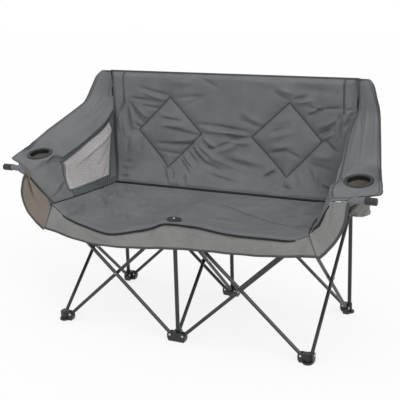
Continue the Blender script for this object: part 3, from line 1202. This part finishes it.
for word, side in sides.items():
    front = gussetPoint(word, *shareGrid(*gusset["grid"]))
    rear = front + [0, clothLayer, 0]
    cloth = closedSheet(f"gusset_cloth_{word}", front, rear, gusset["lining"][word])
    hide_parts(f"skirt_gusset_{word}")
    edge = (front[:, -1] + rear[:, -1]) / 2
    outward = np.cross(np.gradient(edge, axis=0), [0.0, side, 0])
    tape = tapeAlong(f"gusset_binding_{word}", edge, outward, darkBinding, gusset["binding"])
    # the piping in the seam to the side panel, widest at its middle
    inner = front[gusset["pipingRows"], 0] - [0, gusset["pipingFront"], 0]
    taper = np.sin(np.pi * np.linspace(0.02, 0.98, len(inner))) ** 0.6
    piping = tapeAlong(f"gusset_piping_{word}", inner, (-side, 0, 0), blackPiping, gusset["piping"][word],
                       taper)
    frontPieces += [cloth, tape, piping]

for piece in frontPieces:
    fit(piece, "hub_front_middle")
gather(frontPieces)
print("skirt and gussets made")

# Oval clamp on the front of the seat, with ribs round its rim and a screw
clampLow, clampHigh = boxOf("seat_clamp")
clampCentre = (clampLow + clampHigh) / 2
clamp = {
    "ribs": 36, "ribDepth": 0.0009, "rimShare": 0.9,
    # share of the oval, and height under the clamp's top, from the middle out and round to the underside
    "profile": [(0.16, -0.0012), (0.2, -0.0004), (0.6, 0.0), (0.84, -0.0004), (0.95, -0.0012), (1.0, -0.0034),
                (1.0, -0.0064), (0.6, -0.0064)],
    "screwRadius": 0.0055, "screwHeight": 0.0022, "screwStand": 0.0002,
}


# An oval cap: rings of the profile's shares, its rim waved by ribs.
def clampMesh():
    turn = fullTurn(4 * clamp["ribs"])
    share, level = np.array(clamp["profile"]).T[..., None]
    wave = np.where(share > clamp["rimShare"], clamp["ribDepth"] * (np.cos(clamp["ribs"] * turn) - 1), 0)
    x, y = (share * size / 2 + wave for size in (clampHigh - clampLow)[:2])
    rings = placesFrom(x * np.cos(turn), y * np.sin(turn), level)
    rings += [*clampCentre[:2], clampHigh[2]]
    return ringSkin(rings, [[*clampCentre[:2], rings[k, 0, 2]] for k in (0, -1)])


clampPiece = meshPiece("clamp_moulded", *clampMesh(), blackNylon, sharpAngle=0.6)
fit(clampPiece, "hub_front_middle", "seat_clamp")


# A rivet's head: a low dome on a short rim.
def domeProfile(radius, height):
    turn = np.linspace(0, np.pi / 2, 7)[:-1]
    return [(radius * 0.8, 0), (radius, 0.0002), *((radius * np.cos(t), height * np.sin(t)) for t in turn)]


screwPlace = [*clampCentre[:2], clampHigh[2] + clamp["screwStand"]]
screw = turnedPiece("clamp_screw", domeProfile(clamp["screwRadius"], clamp["screwHeight"]), screwPlace,
                    zincSteel, 32)
fit(screw, "hub_front_middle")

# Caps on the ends of the arm poles: a rounded mouth, a groove half way and a rounded end
cap = {"mouth": 0.62, "face": 0.86, "mouthRound": 0.0018, "groove": 0.985, "endRound": 0.004}
for word, side in sides.items():
    low, high = boxOf(f"pole_cap_{word}")
    half, _, outer = (high - low) / 2
    profile = [
        (outer * cap["mouth"], -half), (outer * cap["face"], -half),
        *arc((outer * cap["face"], -half + cap["mouthRound"]), cap["mouthRound"], -90, 0),
        (outer, 0.0), (outer * cap["groove"], 0.001), (outer * cap["groove"], 0.003), (outer, 0.004),
        *arc((outer - cap["endRound"], half - cap["endRound"]), cap["endRound"], 0, 90),
    ]
    outwards = np.array([[0, 0, side], [0, 1, 0], [-side, 0, 0]])
    piece = turnedPiece(f"pole_cap_moulded_{word}", profile, (low + high) / 2, blackNylon, 48, turn=outwards)
    fit(piece, f"leg_front_{word}_long", f"pole_cap_{word}")

# Rivet heads on every pin: on the ears of the feet and hubs, and where two legs cross
rivet = {
    "radius": 0.0048, "height": 0.0024, "earFace": 0.0114, "deepReach": 0.021,
    "nearFace": legRadius - 0.0008, "farFace": 2 * legOffset + legRadius - 0.0002,
}
corners = {f"{row}_{word}": np.array([x, y]) for row, y in (("front", 0), ("back", rowDepth))
           for word, x in columnPlaces.items()}
scissors = [  # name, its two places, its two legs, and the side on which they run; the second leg has the pin
    ("front_left", "front_middle", "front_left", "long", "short", 1),
    ("front_right", "front_middle", "front_right", "long", "short", -1),
    ("back_left", "back_middle", "back_left", "inner", "outer", 1),
    ("back_right", "back_middle", "back_right", "inner", "outer", -1),
    ("side_left", "front_left", "back_left", "front", "back", 1),
    ("side_right", "front_right", "back_right", "front", "back", -1),
    ("centre", "front_middle", "back_middle", "front", "back", 1),
]


# A rivet head whose own upright axis is turned to the pin's direction.
def addRivet(name, place, direction, body):
    sideways = np.cross([0, 0, 1.0], direction)
    turn = np.stack([sideways, np.cross(direction, sideways), direction], -1)
    head = turnedPiece(name, domeProfile(rivet["radius"], rivet["height"]), place, zincSteel, 20, turn=turn)
    fit(head, body)


# The rivets of one leg, which starts in a foot and ends in a hub
def rivetLeg(leg, start, end, side, hasPin):
    along = unit(corners[end] - corners[start])
    across = np.array([-along[1], along[0]])
    reach = pinReach if abs(along[0]) > abs(along[1]) else rivet["deepReach"]
    low = np.append(corners[start] + along * reach + across * side * legOffset, footPin)
    high = np.append(corners[end] - along * reach + across * side * legOffset, hubPin)
    axis = np.append(across, 0)
    for tag, way in (("a", -axis), ("b", axis)):
        addRivet(f"rivet_foot_{leg}_{tag}", low + way * rivet["earFace"], way, f"foot_{start}")
        addRivet(f"rivet_hub_{leg}_{tag}", high + way * rivet["earFace"], way, f"hub_{end}")
    if hasPin:
        for tag, way, face in (("a", axis * side, rivet["nearFace"]), ("b", -axis * side, rivet["farFace"])):
            addRivet(f"rivet_cross_{leg}_{tag}", (low + high) / 2 + way * face, way, leg)


for scissor, first, last, early, late, side in scissors:
    rivetLeg(f"leg_{scissor}_{early}", first, last, side, False)
    rivetLeg(f"leg_{scissor}_{late}", last, first, side, True)
print("rivets made")

# Floor, lights and camera
scene = bpy.context.scene
scene.view_settings.view_transform = "Standard"
scene.world = bpy.data.worlds.new("studio")
scene.world.use_nodes = True
studio = {
    "roomLight": 0.75, "paperGlow": 0.8, "floorDepth": 0.0005,
    "floorCorners": [(-12, -10), (12, -10), (12, 14), (-12, 14)],
}


# One for a ray that shows a surface to the camera: straight, in a mirror or through glass
def seenDirectly(tree):
    rays = addNode(tree, "ShaderNodeLightPath")
    seen = rays["Is Camera Ray"]
    for other in ("Is Glossy Ray", "Is Transmission Ray"):
        seen = addNode(tree, "ShaderNodeMath", {0: seen, 1: rays[other]}, operation="MAXIMUM")
    return seen


# White studio paper round the object: dim as a light, white where it is seen
sky = scene.world.node_tree
sky.nodes.clear()
room, backdrop = (addNode(sky, "ShaderNodeBackground", {"Color": linear("#ffffff"), "Strength": strength})
                  for strength in (studio["roomLight"], 1.0))
addNode(sky, "ShaderNodeOutputWorld", {
    "Surface": addNode(sky, "ShaderNodeMixShader", {0: seenDirectly(sky), 1: room, 2: backdrop})})

# Matt white paper on the floor. Part of its white is its own, so that the shadow on it stays faint
paper, tree = newMaterial("white_studio_paper", {
    "Base Color": linear("#f6f6f6"), "Roughness": 0.9, "Specular IOR Level": 0.1})[:2]
ownWhite = addNode(tree, "ShaderNodeMath", {0: seenDirectly(tree), 1: studio["paperGlow"]},
                   operation="MULTIPLY")
glow = addNode(tree, "ShaderNodeEmission", {"Color": linear("#ffffff"), "Strength": 1.0})
matt = tree.nodes["Principled BSDF"].outputs[0]
lit = addNode(tree, "ShaderNodeMixShader", {0: ownWhite, 1: matt, 2: glow})
tree.links.new(lit, tree.nodes["Material Output"].inputs["Surface"])
floorMesh = bpy.data.meshes.new("studio_floor")
floorMesh.from_pydata([(*corner, -studio["floorDepth"]) for corner in studio["floorCorners"]], [],
                      [(0, 1, 2, 3)])
floorMesh.materials.append(paper)
floor = bpy.data.objects.new("studio_floor", floorMesh)
scene.collection.objects.link(floor)


# Wide soft lamps, far enough away to light the whole floor evenly: where each comes from, how wide it looks
def softLamp(name, comesFrom, width, strength):
    lamp = bpy.data.lights.new(name, "SUN")
    lamp.angle, lamp.energy = np.radians(width), strength
    light = bpy.data.objects.new(name, lamp)
    light.matrix_world = Vector(comesFrom).to_track_quat("Z", "Y").to_matrix().to_4x4()
    scene.collection.objects.link(light)


softLamp("key", (0.85, -0.7, 0.85), 30, 1.0)
softLamp("top", (0.1, -0.1, 1.0), 45, 0.3)
softLamp("fill", (-0.7, -1.0, 0.35), 60, 0.2)

# The camera, which looks from the photograph's angle
shot = {
    "azimuth": np.radians(26.415), "elevation": np.radians(13.843), "roll": np.radians(-1.569),
    "lens": 78.75, "sensor": 36, "shift": (-0.0026, -0.0565),
    "place": (1.47102, -2.98191 + rowMiddle, 1.39969),
}
flatward = np.array([np.sin(shot["azimuth"]), -np.cos(shot["azimuth"]), 0])
backward = flatward * np.cos(shot["elevation"]) + [0, 0, np.sin(shot["elevation"])]
level = np.cross([0, 0, 1], flatward)
upright = np.cross(backward, level)
sideways = np.cos(shot["roll"]) * level + np.sin(shot["roll"]) * upright
upward = np.cos(shot["roll"]) * upright - np.sin(shot["roll"]) * level
lens = bpy.data.cameras.new("camera")
lens.lens, lens.sensor_width, lens.sensor_fit = shot["lens"], shot["sensor"], "HORIZONTAL"
lens.shift_x, lens.shift_y = shot["shift"]
camera = bpy.data.objects.new("camera", lens)
camera.matrix_world = Matrix([*np.stack([sideways, upward, backward, shot["place"]], -1), (0, 0, 0, 1)])
scene.collection.objects.link(camera)
scene.camera = camera
print("camera and lights set")
